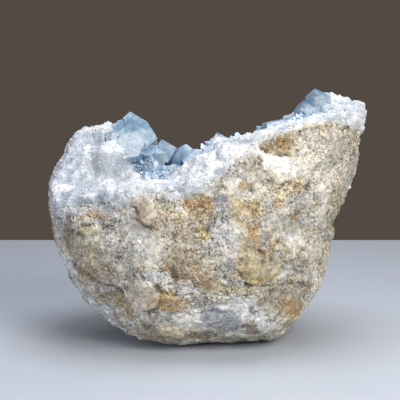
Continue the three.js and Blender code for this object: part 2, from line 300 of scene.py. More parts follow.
# Cracks and grooves of the front: places [x, z] along them, half width, depth.
cracks = {
    "left of the brow": {"along": [(-38, 74), (-34, 70), (-32, 66), (-27, 62)], "half": 0.7, "deep": 1.8},
    "under the cheek": {"along": [(-66, 40), (-57, 38), (-52, 35), (-49, 33)], "half": 0.5, "deep": 0.8},
    "low left": {"along": [(-50, 31), (-47, 33), (-43, 32), (-38, 25), (-35, 22)], "half": 0.7, "deep": 1.8},
    "over the ledge": {"along": [(-63, 57), (-59, 60), (-53, 61)], "half": 0.5, "deep": 1.2},
    "round the knob": {"along": [(-24, 35), (-22, 31), (-23, 25), (-28, 21)], "half": 0.6, "deep": 1.2},
    "orange crack": {"along": [(-21, 46), (-18, 42), (-14, 35)], "half": 0.6, "deep": 1.3},
    "under the boss": {"along": [(12, 43), (16, 36), (21, 34), (28, 34), (31, 35)], "half": 0.45, "deep": 1},
    "over the boss": {"along": [(21, 52), (23, 50)], "half": 0.6, "deep": 1.4},
    "dark nick": {"along": [(23, 47), (26, 48)], "half": 0.6, "deep": 1.2},
    "low right ledge": {"along": [(27, 31), (33, 34), (40, 33), (47, 29)], "half": 0.5, "deep": 1.0},
    "low nick": {"along": [(28, 15), (31, 19)], "half": 0.4, "deep": 0.9},
    "pit's edge": {"along": [(22, 101), (23, 96), (27, 93), (34, 93)], "half": 0.5, "deep": 0.9},
    "upper nick": {"along": [(29, 77), (33, 81)], "half": 0.4, "deep": 0.9},
}

# Stains of the front: colour, from [x, z], to [x, z], half width, strength.
stains = [
    ("grey", (-69, 68), (-66, 52), 5, 0.6),
    ("brown", (-64, 62), (-66, 50), 3.2, 0.6),
    ("cream", (-60, 64), (-58, 60), 4, 0.5),
    ("tan", (-62, 48), (-48, 44), 8.5, 0.75),
    ("pinkCream", (-56, 42), (-46, 36), 5, 0.6),
    ("straw", (-57, 58), (-52, 58), 2.6, 0.8),
    ("orange", (-54, 66), (-52, 66), 2.2, 0.6),
    ("orange", (-48, 66), (-45, 67), 2.8, 0.85),
    ("tan", (-41, 71), (-38, 72), 2.6, 0.8),
    ("pinkCream", (-33, 71), (-29, 66), 5.5, 0.9),
    ("rust", (-26, 62), (-25, 61), 1.9, 0.9),
    ("white", (-42, 65), (-38, 62), 3.6, 0.85),
    ("grey", (-44, 60), (-43, 50), 6.5, 0.5),
    ("white", (-33, 57), (-26, 51), 4.5, 0.85),
    ("taupe", (-52, 38), (-43, 38), 5, 0.7),
    ("rust", (-64, 39), (-52, 35), 1.8, 0.7),
    # partly painted light: this pale stain on the low left flank also stands in for light thrown up onto it
    # from the table
    ("coldWhite", (-66, 36), (-46, 10), 7.5, 0.8),
    ("blueGrey", (-62, 30), (-54, 20), 4, 0.4),
    ("tan", (-46, 28), (-42, 24), 3, 0.6),
    ("ochre", (-41, 26), (-36, 19), 2.8, 0.75),
    ("pinkCream", (-32, 31), (-28, 27), 7.5, 0.75),
    ("straw", (-27, 28), (-26, 28), 3.5, 0.5),
    ("grey", (-40, 46), (-37, 40), 5, 0.6),
    ("straw", (-33, 43), (-30, 43), 3, 0.6),
    ("pinkCream", (-20, 66), (-10, 58), 8, 0.45),
    ("cream", (-22, 52), (-12, 48), 8, 0.5),
    ("greenGrey", (-21, 72), (-18, 71), 3, 0.7),
    ("yellow", (-22, 28), (-21, 25), 3, 0.75),
    ("ochre", (-19, 29), (-14, 25), 4.5, 0.75),
    ("orange", (-19, 43), (-13, 36), 2.6, 0.8),
    ("coldWhite", (-27, 38), (-19, 39), 3, 0.6),
    ("coldWhite", (-14, 35), (-7, 33), 2.4, 0.6),
    ("rust", (-31, 16), (-30, 13), 1.6, 0.7),
    ("tan", (-30, 8), (-10, 9), 5, 0.75),
    ("straw", (-22, 12), (-18, 12), 3.4, 0.6),
    ("white", (-12, 17.5), (14, 22.5), 5, 0.85),
    ("white", (16, 26), (22, 17), 4.5, 0.85),
    ("white", (8, 10), (24, 11), 4, 0.75),
    ("blueGrey", (1, 20), (9, 15), 5.5, 0.95),
    ("blueGrey", (10, 21), (13, 15), 3, 0.7),
    ("brown", (-8, 9), (1, 8), 2.6, 0.75),
    ("tan", (-12, 48), (-2, 38), 6, 0.7),
    ("orange", (-8, 40), (-2, 36), 4, 0.45),
    ("ochre", (-8, 71), (0, 72), 4, 0.7),
    ("rust", (-10, 72), (-6, 71), 1.8, 0.8),
    ("tan", (-5, 67), (0, 64), 3.2, 0.8),
    ("yellow", (-4, 60), (-2, 58), 2.4, 0.7),
    ("blueGrey", (4, 74), (5, 66), 3.6, 0.75),
    ("coldWhite", (2, 62), (6, 58), 4, 0.6),
    ("taupe", (10, 93), (19, 86), 5.5, 0.6),
    ("white", (22, 94), (30, 88), 4, 0.95),
    ("white", (28, 90), (41, 84), 5, 0.95),
    ("yellow", (13, 71), (20, 70), 3.6, 0.7),
    ("rust", (17, 70), (19, 69), 1.7, 0.9),
    ("yellow", (14, 80), (16, 80), 2, 0.7),
    ("greenGrey", (27, 82), (27, 81), 2.4, 0.9),
    ("white", (15, 98), (20, 96), 3, 0.9),
    ("tan", (26, 99.5), (36, 96), 5.2, 0.8),
    ("ochre", (25, 99), (33, 97), 4, 0.7),
    ("yellow", (30, 99), (35, 97), 3, 0.7),
    ("greenGrey", (27, 99), (29, 98), 2.4, 0.9),
    ("rust", (25, 96), (31, 95.5), 1.4, 0.9),
    ("straw", (32, 77), (39, 80), 4, 0.8),
    ("ochre", (38, 80), (39, 77), 1.8, 0.7),
    ("orange", (28, 72), (31, 72), 1.5, 0.7),
    ("ochre", (36, 66), (38, 66), 1.6, 0.6),
    ("bone", (44, 96), (50, 82), 9, 0.7),
    ("grey", (43, 74), (44, 62), 5, 0.5),
    ("greenGrey", (56, 104), (60, 100), 3, 0.6),
    ("taupe", (60, 76), (58, 58), 3, 0.7),
    ("white", (35, 54), (42, 53), 3, 0.7),
    ("ochre", (18, 61), (20, 56), 2.8, 0.75),
    ("blueGrey", (24, 58), (24, 53), 2, 0.6),
    ("orange", (28, 53), (30, 55), 1.1, 0.8),
    ("rust", (20, 51.5), (23, 50), 1.2, 0.9),
    ("straw", (11, 52), (16, 44), 4.5, 0.8),
    ("taupe", (10, 48), (17, 46), 3.5, 0.5),
    ("straw", (18, 46), (25, 42), 5.5, 0.65),
    ("yellow", (14, 43), (19, 37), 3.2, 0.7),
    ("yellow", (20, 38), (27, 39), 3.6, 0.75),
    ("straw", (24, 41), (29, 41), 3, 0.6),
    ("orange", (10, 47), (8, 52), 1.6, 0.6),
    ("coldWhite", (10, 56), (8, 50), 3, 0.6),
    ("blueGrey", (5, 43), (9, 46), 2.4, 0.6),
    ("straw", (4, 35), (16, 32), 3, 0.65),
    ("white", (8, 28), (20, 24), 4, 0.6),
    ("orange", (52, 46), (51, 38), 2.6, 0.7),
    ("taupe", (26, 28), (42, 28), 6, 0.75),
    ("ochre", (34, 23), (41, 18), 4, 0.8),
    ("yellow", (36, 18), (39, 16), 2.4, 0.6),
    ("orange", (36, 23), (39, 23), 1.3, 0.7),
    ("bone", (58, 104), (61, 86), 5, 0.6),
    ("coldWhite", (14, 24), (24, 14), 5, 0.6),
    ("brown", (18, 14), (20, 9), 3, 0.8),
    ("bone", (24, 8), (34, 10), 2.8, 0.75),
]


def onFront(x, z):  # the point of the nodule's front above that place of its front view
    hit = shell.ray_cast(Vector((x, -200, z)) * mm, Vector((0, 1, 0)))[0]
    return np.array(hit if hit else Vector((x, 0, z)) * mm) / mm


def fromLine(points, start, end, half):  # distance from a short line, as a share of half a stain's width
    line = end - start
    share = np.clip((points - start) @ line / max(line @ line, 1e-6), 0, 1)
    return np.linalg.norm(points - start - share[:, None] * line, axis=1) / half


def fromSpot(points, spot):  # as a share of the spot's reach
    return np.linalg.norm((points - spot["at"]) / spot["reach"], axis=1)


def fromPath(points, path):
    corners = [onFront(x, z) for x, z in path]
    return np.min([fromLine(points, a, b, 1) for a, b in zip(corners, corners[1:])], axis=0)


def outward(points, normals, near):  # the surface's own way out, and near the joint the way out of the nodule
    ways = normals + (points - rock["heart"]) / rock["spread"] * np.reshape(near, (-1, 1))
    return ways / np.linalg.norm(ways, axis=1)[:, None]


def shapeRock(piece, fromCrust, outside, white):
    points, normals = readPoints(piece), readNormals(piece)
    rough = np.ones(len(points))
    push = np.zeros(len(points))
    wobble = lumpy(points, 3.5, 21, 2)
    for plate in plates.values():
        middle = onFront(*plate["at"])
        across = (points[:, 0] - middle[0]) / plate["half"][0]
        up = (points[:, 2] - middle[2]) / plate["half"][1]
        deep = (points[:, 1] - middle[1]) / rock["plateDepth"]
        inside = smoothStep(1.18, 0.86, np.sqrt(across ** 2 + up ** 2 + deep ** 2) + 0.2 * wobble)
        push += plate["rise"] * inside
        rough *= 1 - plate["smooth"] * inside
    patchy = lumpy(points, 12, 22, 2)  # the rest of the skin has its own smoother and rougher places
    rough *= 1 - 0.75 * smoothStep(0.0, 0.4, patchy)
    for size, height, seed in rock["lumps"]:
        push += height * lumpy(points, size, seed, 3)
    size, height, seed = rock["backLumps"]
    push += height * lumpy(points, size, seed, 2) * smoothStep(-5, 20, points[:, 1])
    for size, height, seed in rock["crumbs"]:
        push += height * (crumbs(points, size, seed) - 0.5) * rough
    size, depth, seed = rock["pits"]
    pit = smoothStep(0.3, 0.75, lumpy(points, size, seed, 2)) * rough
    push -= depth * pit
    # crack darkens the pits, cracks and seams: partly their own dark colour, partly painted shade in these
    # cuts and under the ledges that some cracks follow
    crack = 0.8 * pit
    for line in cracks.values():
        away = fromPath(points, line["along"]) + 0.7 * wobble
        patches = lumpy(points, 4, line["deep"] * 9)  # a crack is cut deep and shallow by turns
        cut = smoothStep(line["half"] * 2.6, 0.1, away) * smoothStep(-0.5, 0.1, patches)
        push -= line["deep"] * cut
        crack = np.maximum(crack, cut)
    size, depth, seed = rock["seams"]
    seam = np.abs(lumpy(points, size, seed, 2)) + 0.5 * smoothStep(0.1, -0.25, lumpy(points, 30, 32))
    seamCut = smoothStep(0.035, 0.0, seam) * smoothStep(-30, 0, points[:, 1] + 8 * wobble)
    push -= depth * seamCut
    crack = np.maximum(crack, 0.7 * seamCut)
    push *= smoothStep(0.3, 1.8, fromCrust) * (1 - white)
    near = smoothStep(*joint["blend"], fromCrust)
    push += white * sugarRelief(points) + rock["rimLift"] * near
    push *= smoothStep(0.2, 2.5, points[:, 2]) * outside
    push += rock["rimFill"] * (1 - outside) * smoothStep(1.5, 0.8, fromCrust)
    points = points + outward(points, normals, near) * push[:, None]
    points[:, 2] = np.maximum(points[:, 2], 0)
    movePoints(piece, points)
    paint(piece, "rough", rough)
    paint(piece, "crack", crack)
    return points, rough


def rockColours(points):
    tone = [lumpy(points, size, seed, 3) for size, seed in ((22, 41), (13, 42), (17, 43), (8, 44), (5, 45))]
    pick = {name: linear(value) for name, value in colours.items()}
    colour = blend(np.tile(pick["cream"], (len(points), 1)), pick["bone"], smoothStep(0.0, 0.5, tone[0]))
    colour = blend(colour, pick["grey"], 0.8 * smoothStep(-0.05, 0.35, tone[1]))
    colour = blend(colour, pick["tan"], 0.6 * smoothStep(0.1, 0.45, tone[2]))
    colour = blend(colour, pick["ochre"], 0.45 * smoothStep(0.3, 0.55, tone[3]))
    colour = blend(colour, pick["coldWhite"], 0.6 * smoothStep(0.25, 0.5, tone[4]))
    edge = 0.42 * lumpy(points, 3.4, 51, 3) + 0.25 * lumpy(points, 1.3, 52)
    for name, start, end, half, strength in stains:
        away = fromLine(points, onFront(*start), onFront(*end), half)
        near = away < 2.2
        share = np.zeros(len(points))
        share[near] = 0.95 * strength * smoothStep(1.3, 0.65, away[near] + edge[near])
        colour = blend(colour, pick[name], share)
    return colour


def whiteShare(points, above):  # by height above the joint of crust and rock, below it less than 0; ragged
    low = smoothStep(0, -35, points[:, 0])  # how far the white runs down over the rock: further at the left
    ragged = (3.6 + 1.4 * low) * lumpy(points, 9, 55, 3) + 2.2 * lumpy(points, 3.0, 56, 2)
    ragged += 1.2 * lumpy(points, 1.2, 57)
    bare = 2.6 * smoothStep(18, 29, points[:, 0]) * smoothStep(64, 54, points[:, 0])
    return smoothStep(0, 1, (above + ragged - bare) / (2.2 + 3.3 * low) + 1)


def limestoneLook():
    # Weathered limestone, broken and leached in clay soil: dull and chalky, with sand-sized calcite grains as
    # pale flecks of painted glint, dark specks of painted shade in pores and between grains, and soft-edged
    # iron stains.
    material, add = newMaterial("weatheredLimestone")
    place = add("ShaderNodeTexCoord").outputs["Object"]
    skin = add("ShaderNodeAttribute", {"attribute_name": "skin"})
    rough, crack, whitened = [add("ShaderNodeAttribute", {"attribute_name": name}).outputs["Fac"]
                              for name in ("rough", "crack", "whitened")]
    mottle = add("ShaderNodeTexNoise", {"Scale": 1 / (3.4 * mm), "Detail": 6, "Roughness": 0.72},
                 {"Vector": place})
    grain = add("ShaderNodeTexNoise", {"Scale": 1 / (1.1 * mm), "Detail": 3, "Roughness": 0.75},
                {"Vector": place})
    pebbles = add("ShaderNodeTexVoronoi", {"Scale": 1 / (1.5 * mm), "Randomness": 1.0},
                  {"Vector": place})
    stony = add("ShaderNodeMapRange", {"range": (0, 1, 1, 0.25)}, {"Value": whitened})
    shade = add("ShaderNodeMapRange", {"range": (0.32, 0.68, 0.62, 1.34)}, {"Value": mottle})
    mottled = add("ShaderNodeMix", colourProduct, {0: stony, 6: skin, 7: shade})
    tone = add("ShaderNodeSeparateColor", links={"Color": pebbles.outputs["Color"]})
    pebble = add("ShaderNodeMapRange", {"range": (0, 1, 0.7, 1.3)}, {"Value": tone})
    toned = add("ShaderNodeMix", colourProduct, {0: stony, 6: mottled, 7: pebble})
    # painted shade: dark specks stand for the shade in pores and between grains, fewer on pale skin
    speck = add("ShaderNodeMapRange", {"range": (0.46, 0.4, 0, 1)}, {"Value": grain})
    paleness = add("ShaderNodeRGBToBW", links={"Color": skin})
    fewerOnPale = add("ShaderNodeMapRange", {"range": (0.55, 0.82, 1, 0.3)}, {"Value": paleness})
    rougher = add("ShaderNodeMath", product, {0: rough, 1: fewerOnPale})
    pores = add("ShaderNodeMath", product, {0: rougher, 1: stony})
    poreShadeShare = add("ShaderNodeMath", product, {0: speck, 1: pores})
    poreShaded = add("ShaderNodeMix", {"data_type": "RGBA", 7: [*linear("#4c473b"), 1]},
                  {0: poreShadeShare, 6: toned})
    fine = add("ShaderNodeTexNoise", {"Scale": 1 / (0.6 * mm), "Detail": 1}, {"Vector": place})
    fineTone = add("ShaderNodeMapRange", {"range": (0.35, 0.65, 0.72, 1.26)}, {"Value": fine})
    gritty = add("ShaderNodeMix", colourProduct, {0: pores, 6: poreShaded, 7: fineTone})
    # painted highlight: pale flecks where the grain noise peaks, standing for calcite grains catching the
    # light
    paintedGlint = add("ShaderNodeMapRange", {"range": (0.56, 0.62, 0, 0.7)}, {"Value": grain})
    grained = add("ShaderNodeMix", {"data_type": "RGBA", 7: [*linear("#e8e6df"), 1]},
                  {0: paintedGlint, 6: gritty})
    # painted shade, with the cracks' own dark colour: the darkening along pits, cracks and seams
    crackShare = add("ShaderNodeMath", {**product, 1: 0.85}, {0: crack})
    cracked = add("ShaderNodeMix", {"data_type": "RGBA", 7: [*linear(colours["dark"]), 1]},
                  {0: crackShare, 6: grained})
    height = add("ShaderNodeMath", {"operation": "ADD"}, {0: grain, 1: mottle})
    bump = add("ShaderNodeBump", {"Strength": 0.9, "Distance": 1.1 * mm}, {"Height": height})
    surface = add("ShaderNodeBsdfPrincipled",
                  {"Roughness": 0.88, "IOR": limestoneIor, "Specular IOR Level": 0.3},
                  {"Base Color": cracked, "Normal": bump})
    add("ShaderNodeOutputMaterial", links={"Surface": surface})
    return material


def thinHidden(piece, other, plan):  # fewer faces where the other piece covers it
    hidden = deepHidden(piece, other, plan["rimKept"])
    thinner = piece.modifiers.new("thin", "DECIMATE")
    thinner.ratio = 1 - (1 - plan["hiddenShare"]) * hidden.mean()
    thinner.vertex_group = weigh(piece, "hidden", hidden)
    thinner.vertex_group_factor = 10
    applyModifiers(piece)


def smoothAway(piece, plan, fromOther):  # smoothing that leaves the edge next to the other piece alone
    smooth = piece.modifiers.new("smooth", "SMOOTH")
    smooth.iterations = plan["smoothing"]
    smooth.vertex_group = weigh(piece, "away", smoothStep(*plan["keepEdge"], fromOther))
    applyModifiers(piece)


def finishPiece(piece, look, node=None):
    piece.data.materials.clear()
    piece.data.materials.append(look)
    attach(piece, "root")
    if node:
        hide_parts(node)
    piece.data.calc_loop_triangles()
    print(piece.name + ":", len(piece.data.loop_triangles), "triangles")


def makeRock():
    piece = copyOfNode("rock_shell", "limestone_nodule")
    remeshWith(piece, rock["voxel"])
    thinHidden(piece, crust, rock)
    fromCrust = distanceTo(crust, readPoints(piece))
    smoothAway(piece, rock, fromCrust)
    outside = exposed(piece, crust)
    white = whiteShare(readPoints(piece), -fromCrust) * outside
    points, rough = shapeRock(piece, fromCrust, outside, white)
    outside *= smoothStep(1.0, 2.5, points[:, 2])
    paint(piece, "skin", blend(rockColours(points), linear(sugarTones["white"]), 0.95 * white))
    paint(piece, "bare", outside * smoothStep(0.35, 0.85, rough) * (1 - white))
    paint(piece, "whitened", outside * white)
    finishPiece(piece, limestoneLook(), "rock_shell")
    return piece


hollow = {  # the space of the clear crystals, inside the white layer
    "middle": (4, 2, 88),
    "reach": (47.5, 34.5),
    "down": 44.5,
    "up": 150,
    "waver": 1.4,
}

# Where blue crystals stand on the rim outside the hollow: place and reach.
rimClumps = {
    "left blocks": {"at": (-37, -12, 97.5), "reach": (13.5, 13.5, 13.5)},
    "crown": {"at": (48.5, -13, 117), "reach": (11, 13, 9)},
    "below the crown": {"at": (47, -27, 110), "reach": (8, 8, 6)},
    "below the ridge": {"at": (40.5, -25, 108.5), "reach": (8, 9, 6.5)},
    "middle ridge": {"at": (33.5, -25, 105), "reach": (7, 7, 5.5)},
    "low ridge": {"at": (26.5, -26, 102.5), "reach": (6.5, 5, 4.5)},
    "lone tooth": {"at": (4, -31, 102.5), "reach": (5, 4.5, 4.5)},
}

crystals = {
    "edge": 0.35,  # how wide the worn edges between faces are at most
    "sharpest": 22,  # edges flatter than this stay as they are, degrees
    "step": 2.0,  # flat faces are divided this finely, to carry the frost
    "groundVoxel": 1.1,  # how coarse the ground is that frost grains are scattered over
}

sugar = {
    "voxel": 0.9,
    "smoothing": 4,
    "keepEdge": (0.8, 2.5),  # smoothing fades in over these distances from the rock
    "crumbs": [(4.2, 1.0, 61), (2.0, 0.5, 62)],
    "lumps": [(9, 1.8, 63), (4, 0.8, 64)],
    "overlap": 0.55,  # how far it swells all round, into the rock below it
    "rimKept": 3,
    "hiddenShare": 0.1,
}


def cutWith(piece, other, operation, keep=False):
    cut = piece.modifiers.new("cut", "BOOLEAN")
    cut.operation = operation
    cut.object = other
    cut.solver = "MANIFOLD"
    applyModifiers(piece)
    if not keep:
        bpy.data.objects.remove(other)


def blueZone():  # the space that clear crystals fill, as against the white layer round it
    shape = bmesh.new()
    bmesh.ops.create_icosphere(shape, subdivisions=5, radius=1)
    middle, reach = Vector(hollow["middle"]), hollow["reach"]
    for vert in shape.verts:
        way = vert.co.normalized()
        up = hollow["up"] if way.z > 0 else hollow["down"]
        plain = 1 / math.sqrt((way.x / reach[0]) ** 2 + (way.y / reach[1]) ** 2 + (way.z / up) ** 2)
        vert.co = (middle + way * (plain + hollow["waver"] * noise.noise(way * 4))) * mm
    zone = addPiece("blue_zone", meshFrom(shape, "blue zone"))
    for clump in rimClumps.values():
        ball = bmesh.new()
        bmesh.ops.create_icosphere(ball, subdivisions=4, radius=1)
        for vert in ball.verts:
            vert.co *= 1 + 0.16 * noise.noise(vert.co * 2.5 + Vector(clump["at"]))
        bmesh.ops.scale(ball, vec=Vector(clump["reach"]) * mm, verts=ball.verts)
        bmesh.ops.translate(ball, vec=Vector(clump["at"]) * mm, verts=ball.verts)
        cutWith(zone, addPiece("clump", meshFrom(ball, "clump")), "UNION")
    return zone


def dropSlivers(shape):  # faces folded onto each other go, and the holes that they leave are filled
    for _ in range(3):
        twins = {}
        for face in shape.faces:
            twins.setdefault(frozenset(face.verts), []).append(face)
        crowded = {face for edge in shape.edges if len(edge.link_faces) > 2 for face in edge.link_faces
                   if face.calc_area() < 0.01 * mm * mm}
        folded = {face for pair in twins.values() if len(pair) > 1 for face in pair}
        bmesh.ops.delete(shape, geom=list(crowded | folded), context="FACES")
        rims = [edge for edge in shape.edges if edge.is_boundary]
        bmesh.ops.holes_fill(shape, edges=rims, sides=12)
        bmesh.ops.triangulate(shape, faces=shape.faces)


def easeEdges(piece):  # narrow worn edges where flat faces meet
    shape = bmesh.new()
    shape.from_mesh(piece.data)
    worn = shape.faces.layers.float.new("worn")
    lit = shape.faces.layers.float.new("upward")
    shaded = shape.faces.layers.float.new("downward")
    bmesh.ops.dissolve_limit(shape, angle_limit=math.radians(2), verts=shape.verts, edges=shape.edges)
    sharp = [e for e in shape.edges if e.is_manifold and e.is_convex
             and e.calc_face_angle(0) > math.radians(crystals["sharpest"])]
    eased = bmesh.ops.bevel(shape, geom=sharp, offset=crystals["edge"] * mm, affect="EDGES", segments=1,
                            profile=0.5, material=-1, clamp_overlap=True)
    for face in eased["faces"]:
        face[worn] = 1
    bmesh.ops.remove_doubles(shape, verts=shape.verts, dist=0.01 * mm)
    bmesh.ops.triangulate(shape, faces=shape.faces)
    for _ in range(4):
        long = [e for e in shape.edges if e.calc_length() > crystals["step"] * mm]
        bmesh.ops.subdivide_edges(shape, edges=long, cuts=1)
        bmesh.ops.triangulate(shape, faces=shape.faces)
    bmesh.ops.dissolve_degenerate(shape, edges=shape.edges, dist=0.004 * mm)
    bmesh.ops.triangulate(shape, faces=shape.faces)
    dropSlivers(shape)
    bmesh.ops.recalc_face_normals(shape, faces=shape.faces)
    # painted shade by facing: faces turned up are later painted a darker, clearer blue, faces turned down a
    # saturated blue
    for face in shape.faces:
        face[lit] = smoothStep(0.25, 0.85, face.normal.z)
        face[shaded] = smoothStep(-0.1, -0.6, face.normal.z)
    shape.to_mesh(piece.data)
    shape.free()


# Where the white layer has heaped up against large crystals: place, reach, rise.
drifts = {
    "left of the blocks": {"at": (-45.5, -13.5, 87.5), "reach": (9.5, 9, 9), "rise": 9.5},
    "below the blocks": {"at": (-43, -15, 83), "reach": (7, 7, 5), "rise": 2.5},
}


def sugarRelief(points):
    push = np.zeros(len(points))
    for size, height, seed in sugar["lumps"]:
        push += height * lumpy(points, size, seed, 2)
    for size, height, seed in sugar["crumbs"]:
        push += height * (crumbs(points, size, seed) - 0.45)
    return push


def makeLayer(zone):
    layer = copyOfNode("crystal_crust", "sugary_layer")
    cutWith(layer, zone, "DIFFERENCE", keep=True)
    swell = layer.modifiers.new("swell", "DISPLACE")
    swell.mid_level = 0
    swell.strength = sugar["overlap"] * mm
    remeshWith(layer, sugar["voxel"])
    thinHidden(layer, shell, sugar)
    smoothAway(layer, sugar, distanceTo(shell, readPoints(layer)))
    points, normals = readPoints(layer), readNormals(layer)
    outside = exposed(layer, shell)
    fromRock = distanceTo(shell, points)
    white = whiteShare(points, fromRock)
    push = sugarRelief(points) * white * outside
    for drift in drifts.values():
        push += drift["rise"] * smoothStep(1.1, 0.3, fromSpot(points, drift)) * outside
    near = smoothStep(*joint["blend"], fromRock)
    movePoints(layer, points + outward(points, normals, near) * push[:, None])
    pick = {name: linear(value) for name, value in sugarTones.items()}
    shadier = 0.45 * smoothStep(-40, -66, points[:, 0])  # the left end, and more so its foot, lies in shade
    shadier += 0.9 * smoothStep(84, 72, points[:, 2]) * smoothStep(-44, -52, points[:, 0])
    colour = blend(np.tile(pick["white"], (len(points), 1)), pick["shade"],
                   smoothStep(0.0, 0.45, lumpy(points, 8, 71, 3) + shadier))
    colour = blend(colour, pick["bright"], smoothStep(0.1, 0.5, lumpy(points, 6, 72, 2)))
    # painted shade: the hollows of the relief, where the surface is pushed in, turn to the deep blue-grey
    colour = blend(colour, pick["deep"], 0.8 * smoothStep(-0.2, -1.0, push + 0.4 * lumpy(points, 1.5, 75)))
    paint(layer, "skin", blend(rockColours(points), colour, 0.05 + 0.95 * white))
    return layer


def openGround(layer, blueSurface):  # where grains and small crystals can stand on the white layer
    points = readPoints(layer)
    bare = exposed(layer, shell) * clearOf(points, blueSurface)
    inward = ((points - hollow["middle"]) / (*hollow["reach"], hollow["down"])) ** 2
    inward = inward[:, 0] + inward[:, 1] + inward[:, 2] * (points[:, 2] < hollow["middle"][2])
    inner = smoothStep(1.15, 0.95, inward)
    paint(layer, "bare", bare * (1 - 0.6 * inner))
    paint(layer, "inner", bare * inner)


sugarTones = {
    "white": "#d6dbe0",
    "bright": "#e9ebed",
    "shade": "#b6c0cb",
    # deep: the painted shade of the layer's hollows
    "deep": "#98a5b3",
}


# Light passes a little way into celestite grains.
milky = {"IOR": celestiteIor, "Subsurface Weight": 0.4, "Subsurface Radius": (1, 1, 1)}


def sugarLook():
    # Sugary celestite and calcite, grown as a crust of millimetre grains: white with a cold blue cast, bright
    # where grains catch the light and soft where light passes between them.
    material, add = newMaterial("sugaryCelestite")
    place = add("ShaderNodeTexCoord").outputs["Object"]
    skin = add("ShaderNodeAttribute", {"attribute_name": "skin"})
    grain = add("ShaderNodeTexNoise", {"Scale": 1 / (1.1 * mm), "Detail": 3, "Roughness": 0.7},
                {"Vector": place})
    shade = add("ShaderNodeMapRange", {"range": (0.36, 0.58, 0.8, 1.05)}, {"Value": grain})
    colour = add("ShaderNodeMix", colourProduct, {6: skin, 7: shade})
    bump = add("ShaderNodeBump", {"Strength": 0.7, "Distance": 0.8 * mm}, {"Height": grain})
    surface = add("ShaderNodeBsdfPrincipled",
                  {**milky, "Roughness": 0.5, "Subsurface Scale": 1.5 * mm},
                  {"Base Color": colour, "Normal": bump})
    add("ShaderNodeOutputMaterial", links={"Surface": surface})
    return material


def grainLook(name, tones, fromGround=0):
    # Single small celestite crystals: glassy blocks, milky white to pale blue, each face flat and bright.
    material, add = newMaterial(name)
    tone = add("ShaderNodeAttribute", {"attribute_name": "tone"}).outputs["Fac"]
    colour = add("ShaderNodeValToRGB", {"ramp": tones}, {"Fac": tone})
    if fromGround:  # how much of the tone of the ground below shows in the grains
        skin = add("ShaderNodeAttribute", {"attribute_name": "skin"})
        colour = add("ShaderNodeMix", {**colourProduct, 0: fromGround}, {6: colour, 7: skin})
    surface = add("ShaderNodeBsdfPrincipled",
                  {**milky, "Roughness": 0.35, "Subsurface Scale": 1.2 * mm}, {"Base Color": colour})
    add("ShaderNodeOutputMaterial", links={"Surface": surface})
    return material


def crumbLook():
    # Crumbs of the weathered limestone: the rock's own colour, each a little paler or darker, chalky.
    material, add = newMaterial("limestoneCrumbs")
    skin = add("ShaderNodeAttribute", {"attribute_name": "skin"})
    tone = add("ShaderNodeAttribute", {"attribute_name": "tone"}).outputs["Fac"]
    shade = add("ShaderNodeMapRange", {"range": (0, 1, 0.68, 1.22)}, {"Value": tone})
    colour = add("ShaderNodeMix", colourProduct, {6: skin, 7: shade})
    surface = add("ShaderNodeBsdfPrincipled",
                  {"Roughness": 0.8, "IOR": limestoneIor, "Specular IOR Level": 0.35},
                  {"Base Color": colour})
    add("ShaderNodeOutputMaterial", links={"Surface": surface})
    return material


